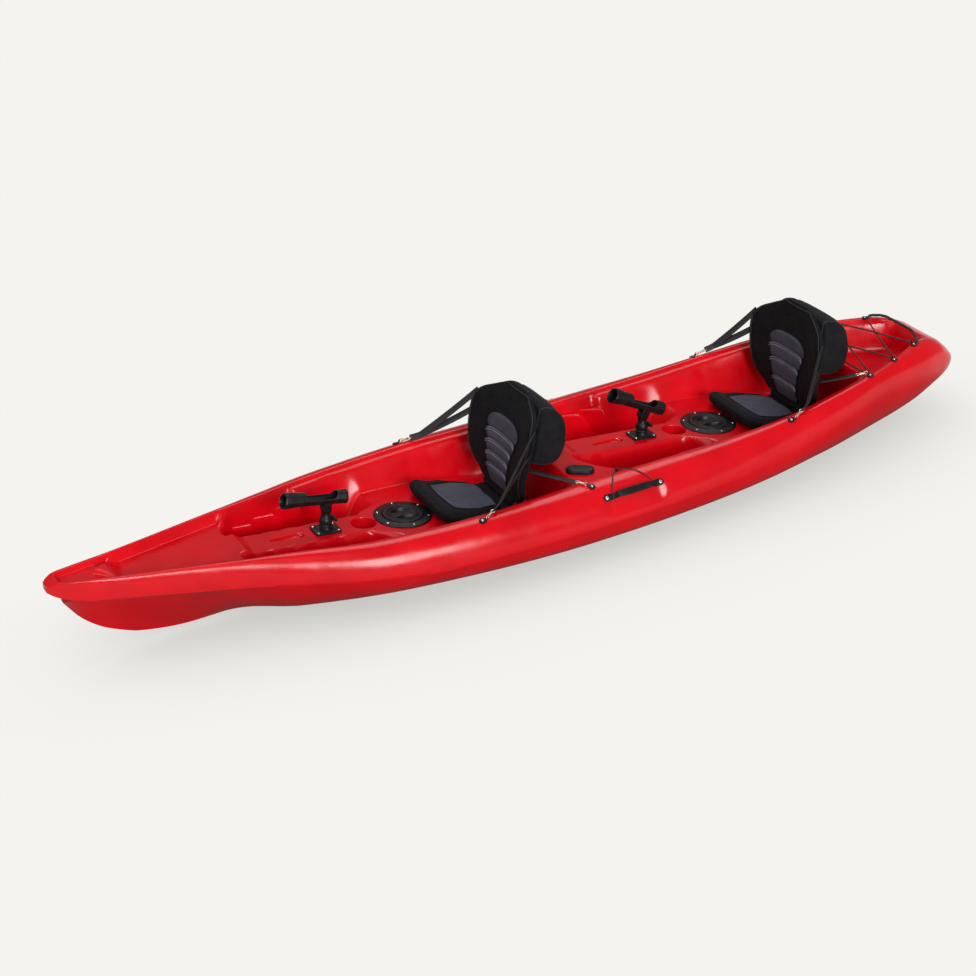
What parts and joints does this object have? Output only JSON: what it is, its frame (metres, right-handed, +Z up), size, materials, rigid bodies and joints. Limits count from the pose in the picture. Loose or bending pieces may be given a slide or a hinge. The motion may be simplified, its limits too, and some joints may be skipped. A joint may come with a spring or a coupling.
{
  "type": "tandem sit-on-top kayak",
  "caption": "Tandem sit-on-top kayak: moulded red shell with foot wells, folding seats, twist hatches, swivelling rod holders, flush rod sockets, stern bungee and carry handles.",
  "frame": {"origin": "on the floor under mid-length, on the centreline", "axes": "+X towards the bow, +Y to port, +Z up"},
  "size_m": [3.7, 0.8602, 0.582],
  "materials": {
    "hull_red": "moulded polyethylene, glossy with a faint mottle",
    "black_plastic": "satin moulded",
    "steel": "stainless",
    "seal_rubber": "soft",
    "seat_fabric": "woven nylon over foam",
    "webbing": "woven webbing",
    "hook_brass": "polished",
    "cord": "braided cover over elastic"
  },
  "bodies": {
    "hull": {"stern_hull": "hull_red", "rear_hull": "hull_red", "front_hull": "hull_red", "bow_hull": "hull_red", "stern_deck": "hull_red", "rear_seat_deck": "hull_red", "rear_hatch_deck": "hull_red", "rear_foot_deck": "hull_red", "rear_cup_well": "hull_red", "middle_deck": "hull_red", "front_seat_deck": "hull_red", "front_hatch_deck": "hull_red", "front_foot_deck": "hull_red", "front_cup_well": "hull_red", "bow_deck": "hull_red", "front_hatch_ring": "black_plastic", "rear_hatch_ring": "black_plastic", "hatch_screws": "steel", "front_rod_base": "black_plastic", "rear_rod_base": "black_plastic", "rod_base_screws": "steel", "port_rod_socket": "black_plastic", "starboard_rod_socket": "black_plastic", "front_seat_cushion": "seat_fabric", "rear_seat_cushion": "seat_fabric", "seat_hooks": "hook_brass", "padeyes": "black_plastic", "padeye_loops": "black_plastic", "padeye_screws": "steel", "port_carry_handle": "black_plastic", "starboard_carry_handle": "black_plastic", "handle_screws": "steel", "port_paddle_bungee": "cord", "starboard_paddle_bungee": "cord", "keeper_buttons": "black_plastic", "tank_bungee": "cord", "stern_handle": "cord", "drain_plug": "black_plastic", "slot_eyes": "steel"},
    "front_seat_back": {"front_seat_back": "seat_fabric", "front_seat_pack": "seat_fabric", "front_seat_front_straps": "webbing", "front_seat_rear_straps": "webbing"},
    "front_hatch_seal": {"front_hatch_gasket": "seal_rubber"},
    "front_hatch_lid": {"front_hatch_lid": "black_plastic"},
    "front_rod_post": {"front_rod_post": "black_plastic"},
    "front_rod_cradle": {"front_rod_cradle": "black_plastic"},
    "front_rod_knob": {"front_rod_knob": "black_plastic"},
    "rear_seat_back": {"rear_seat_back": "seat_fabric", "rear_seat_pack": "seat_fabric", "rear_seat_front_straps": "webbing", "rear_seat_rear_straps": "webbing"},
    "rear_hatch_seal": {"rear_hatch_gasket": "seal_rubber"},
    "rear_hatch_lid": {"rear_hatch_lid": "black_plastic"},
    "rear_rod_post": {"rear_rod_post": "black_plastic"},
    "rear_rod_cradle": {"rear_rod_cradle": "black_plastic"},
    "rear_rod_knob": {"rear_rod_knob": "black_plastic"},
    "port_socket_cap": {"port_socket_cap": "black_plastic"},
    "starboard_socket_cap": {"starboard_socket_cap": "black_plastic"}
  },
  "joints": [
    {"name": "front_seat_fold", "type": "hinge", "parent": "hull", "child": "front_seat_back", "pos_m": [0.16, 0, 0.16657], "axis": [0, 1, 0], "range_deg": [0, 76], "deforming": ["front_seat_front_straps", "front_seat_rear_straps"]},
    {"name": "front_hatch_lift", "type": "slide", "parent": "hull", "child": "front_hatch_seal", "axis": [0, 0, 1], "range_m": [0, 0.06]},
    {"name": "front_hatch_twist", "type": "hinge", "parent": "front_hatch_seal", "child": "front_hatch_lid", "pos_m": [0.548, 0, 0.18213], "axis": [-0.1097, 0, 0.994], "range_deg": [0, 90]},
    {"name": "front_rod_swivel", "type": "hinge", "parent": "hull", "child": "front_rod_post", "pos_m": [0.846, 0, 0.21503], "axis": [-0.1097, 0, 0.994], "continuous": true},
    {"name": "front_rod_tilt", "type": "hinge", "parent": "front_rod_post", "child": "front_rod_cradle", "pos_m": [0.83678, 0, 0.29852], "axis": [0, -1, 0], "range_deg": [-33, 40]},
    {"name": "front_rod_knob_turn", "type": "hinge", "parent": "front_rod_post", "child": "front_rod_knob", "pos_m": [0.84139, 0, 0.25678], "axis": [-0.994, 0, -0.1097], "continuous": true},
    {"name": "rear_seat_fold", "type": "hinge", "parent": "hull", "child": "rear_seat_back", "pos_m": [-1.113, 0, 0.17114], "axis": [0, 1, 0], "range_deg": [0, 67], "deforming": ["rear_seat_front_straps", "rear_seat_rear_straps"]},
    {"name": "rear_hatch_lift", "type": "slide", "parent": "hull", "child": "rear_hatch_seal", "axis": [0, 0, 1], "range_m": [0, 0.06]},
    {"name": "rear_hatch_twist", "type": "hinge", "parent": "rear_hatch_seal", "child": "rear_hatch_lid", "pos_m": [-0.745, 0, 0.18213], "axis": [-0.1097, 0, 0.994], "range_deg": [0, 90]},
    {"name": "rear_rod_swivel", "type": "hinge", "parent": "hull", "child": "rear_rod_post", "pos_m": [-0.447, 0, 0.21503], "axis": [-0.1097, 0, 0.994], "continuous": true},
    {"name": "rear_rod_tilt", "type": "hinge", "parent": "rear_rod_post", "child": "rear_rod_cradle", "pos_m": [-0.45622, 0, 0.29852], "axis": [0, -1, 0], "range_deg": [-49, 34]},
    {"name": "rear_rod_knob_turn", "type": "hinge", "parent": "rear_rod_post", "child": "rear_rod_knob", "pos_m": [-0.45161, 0, 0.25678], "axis": [-0.994, 0, -0.1097], "continuous": true},
    {"name": "port_socket_cap_flip", "type": "hinge", "parent": "hull", "child": "port_socket_cap", "pos_m": [-0.10641, 0.24172, 0.27732], "axis": [-0.6293, -0.7771, 0], "range_deg": [0, 110]},
    {"name": "starboard_socket_cap_flip", "type": "hinge", "parent": "hull", "child": "starboard_socket_cap", "pos_m": [-0.10641, -0.24172, 0.27732], "axis": [0.6293, -0.7771, 0], "range_deg": [0, 110]}
  ]
}
